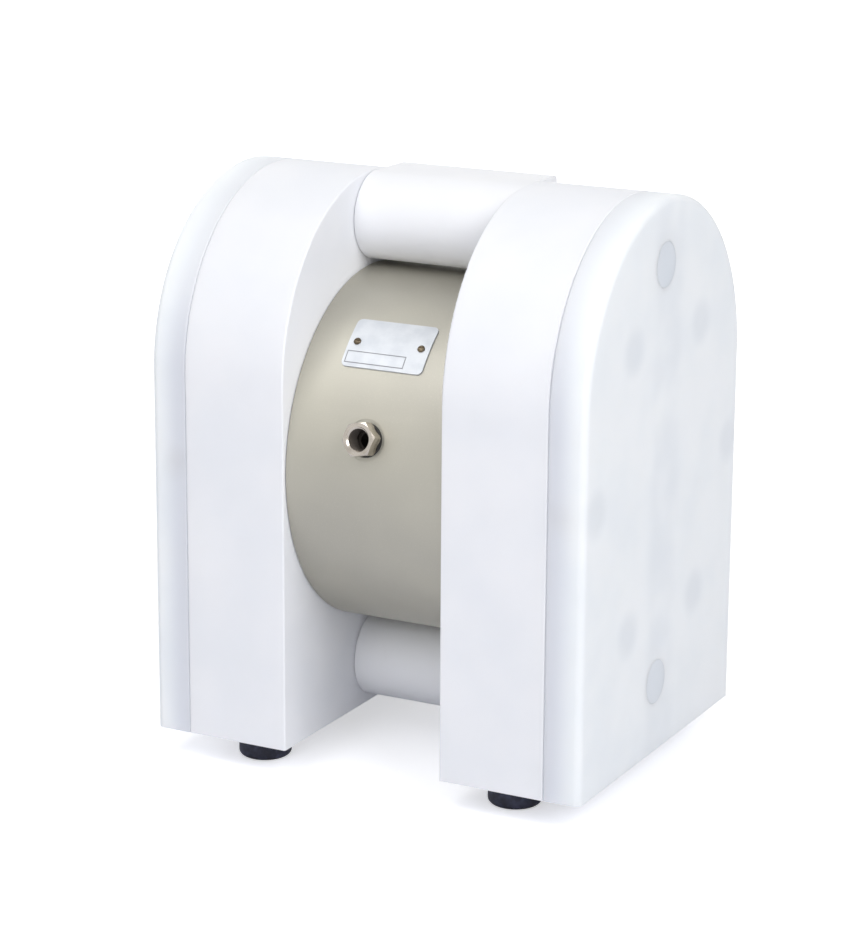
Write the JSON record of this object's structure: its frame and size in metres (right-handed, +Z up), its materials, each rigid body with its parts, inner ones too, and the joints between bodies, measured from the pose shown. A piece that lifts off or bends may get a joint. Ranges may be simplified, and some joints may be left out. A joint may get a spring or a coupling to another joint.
{
  "type": "air operated diaphragm pump",
  "caption": "Double diaphragm pump driven by compressed air: plastic end blocks with ball valves around a round centre block, with rear suction and discharge ports.",
  "frame": {"origin": "on the floor, midway between the four feet", "axes": "+X along the diaphragm shaft to the right, +Y to the rear where the ports are, +Z up"},
  "size_m": [0.255, 0.2509, 0.317],
  "materials": {
    "white_plastic": "machined solid plastic, bright white, satin",
    "natural_plastic": "natural plastic, slightly see-through, milky",
    "screw_plastic": "natural plastic, turned",
    "beige_paint": "champagne paint, fine satin texture",
    "seal_rubber": "black seal rubber",
    "valve_plastic": "machined white plastic",
    "ball_plastic": "ground plastic ball",
    "diaphragm_rubber": "fabric reinforced rubber",
    "plain_aluminium": "turned aluminium",
    "brass": "turned brass",
    "steel": "turned stainless steel",
    "nickel_plate": "bright nickel plate",
    "silencer_plastic": "porous dark plastic",
    "plate_metal": "brushed anodised sheet",
    "foot_rubber": "black moulded rubber"
  },
  "bodies": {
    "pump_body": {"left_housing": "white_plastic", "right_housing": "white_plastic", "left_cover": "natural_plastic", "right_cover": "natural_plastic", "cover_screws": "screw_plastic", "centre_block": "beige_paint", "discharge_manifold": "white_plastic", "suction_manifold": "white_plastic", "manifold_seals": "seal_rubber", "left_suction_seat": "valve_plastic", "left_discharge_seat": "valve_plastic", "right_suction_seat": "valve_plastic", "right_discharge_seat": "valve_plastic", "left_suction_cage": "valve_plastic", "left_discharge_cage": "valve_plastic", "right_suction_cage": "valve_plastic", "right_discharge_cage": "valve_plastic", "left_column_plug": "valve_plastic", "right_column_plug": "valve_plastic", "column_plug_seals": "seal_rubber", "left_diaphragm": "diaphragm_rubber", "right_diaphragm": "diaphragm_rubber", "shaft_bushes": "brass", "shaft_seals": "seal_rubber", "air_valve_sleeve": "brass", "air_valve_seals": "seal_rubber", "air_valve_caps": "plain_aluminium", "air_valve_circlips": "steel", "air_inlet_fitting": "nickel_plate", "air_inlet_washer": "seal_rubber", "exhaust_silencer": "silencer_plastic", "rating_plate": "plate_metal", "plate_screws": "steel", "tie_rods": "steel", "tie_rod_washers": "steel", "tie_rod_nuts": "steel", "rubber_feet": "foot_rubber", "foot_inserts": "steel"},
    "shaft_assembly": {"left_air_plate": "plain_aluminium", "right_air_plate": "plain_aluminium", "left_liquid_plate": "valve_plastic", "right_liquid_plate": "valve_plastic", "diaphragm_shaft": "steel"},
    "valve_spool": {"air_valve_spool": "steel"},
    "left_suction_valve_ball": {"left_suction_ball": "ball_plastic"},
    "left_discharge_valve_ball": {"left_discharge_ball": "ball_plastic"},
    "right_suction_valve_ball": {"right_suction_ball": "ball_plastic"},
    "right_discharge_valve_ball": {"right_discharge_ball": "ball_plastic"}
  },
  "joints": [
    {"name": "shaft_slide", "type": "slide", "parent": "pump_body", "child": "shaft_assembly", "axis": [1, 0, 0], "range_m": [-0.008, 0.008], "deforming": ["left_diaphragm", "right_diaphragm"]},
    {"name": "spool_slide", "type": "slide", "parent": "pump_body", "child": "valve_spool", "axis": [1, 0, 0], "range_m": [-0.004, 0.004]},
    {"name": "left_suction_ball_lift", "type": "slide", "parent": "pump_body", "child": "left_suction_valve_ball", "axis": [0, 0, 1], "range_m": [0, 0.006]},
    {"name": "left_discharge_ball_lift", "type": "slide", "parent": "pump_body", "child": "left_discharge_valve_ball", "axis": [0, 0, 1], "range_m": [0, 0.006]},
    {"name": "right_suction_ball_lift", "type": "slide", "parent": "pump_body", "child": "right_suction_valve_ball", "axis": [0, 0, 1], "range_m": [0, 0.006]},
    {"name": "right_discharge_ball_lift", "type": "slide", "parent": "pump_body", "child": "right_discharge_valve_ball", "axis": [0, 0, 1], "range_m": [0, 0.006]}
  ]
}
